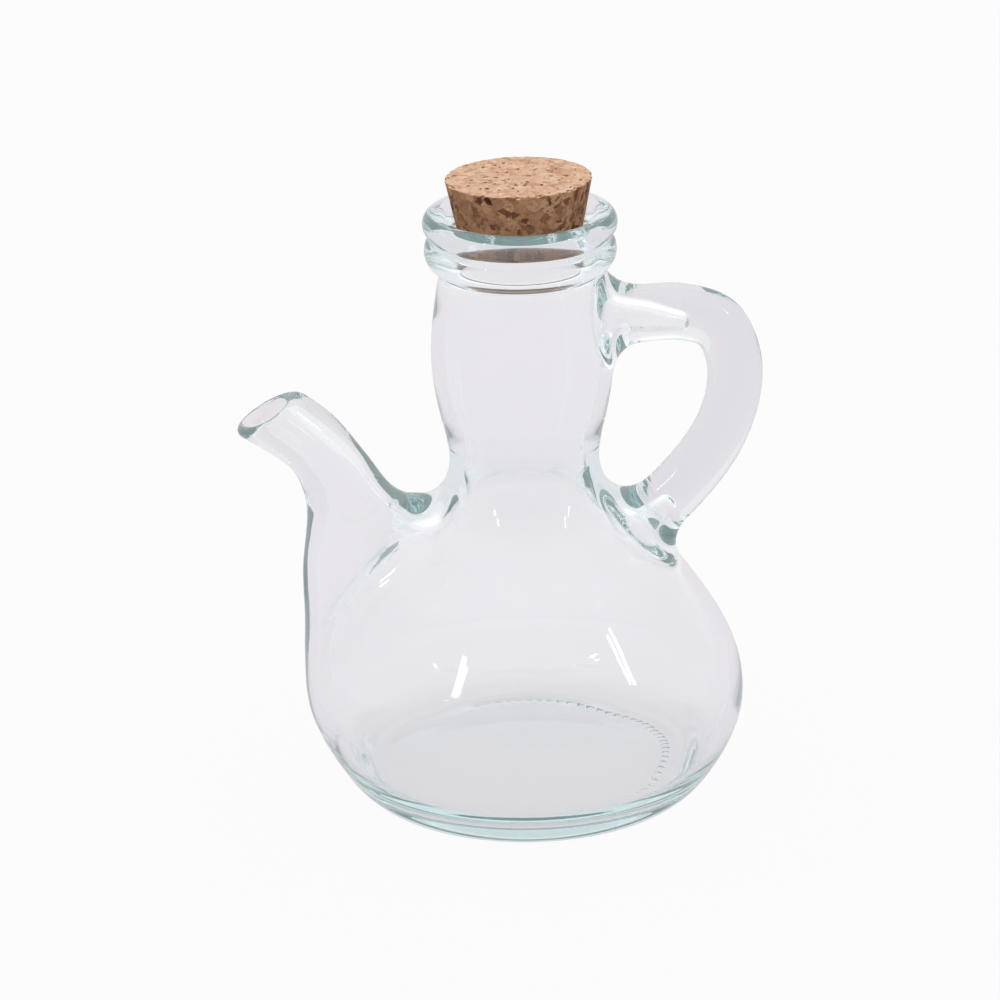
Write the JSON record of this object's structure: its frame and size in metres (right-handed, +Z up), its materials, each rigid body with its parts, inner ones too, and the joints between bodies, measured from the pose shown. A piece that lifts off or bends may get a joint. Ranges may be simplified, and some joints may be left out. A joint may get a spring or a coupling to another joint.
{
  "type": "glass oil cruet",
  "caption": "Round-bellied glass oil cruet with a teapot-style pouring spout, an ear handle, a ringed neck and a tapered cork stopper that lifts out.",
  "frame": {"origin": "on the table the cruet stands on, below the middle of its outline from spout tip to handle; the body's own axis stands 6.5 mm from it along +X", "axes": "+Z up through the mouth, -X towards the spout, +X towards the handle"},
  "size_m": [0.1472, 0.1214, 0.178],
  "materials": {
    "glass": "clear, faintly teal moulded glass with a fire-polished shine",
    "cork": "matte pressed cork granules, tan with dark brown flecks and small pits"
  },
  "bodies": {
    "vessel": {"glass_vessel": "glass"},
    "stopper": {"cork_stopper": "cork"}
  },
  "joints": [
    {"name": "stopper_lift", "type": "slide", "parent": "vessel", "child": "stopper", "axis": [0, 0, 1], "range_m": [0, 0.045]}
  ]
}
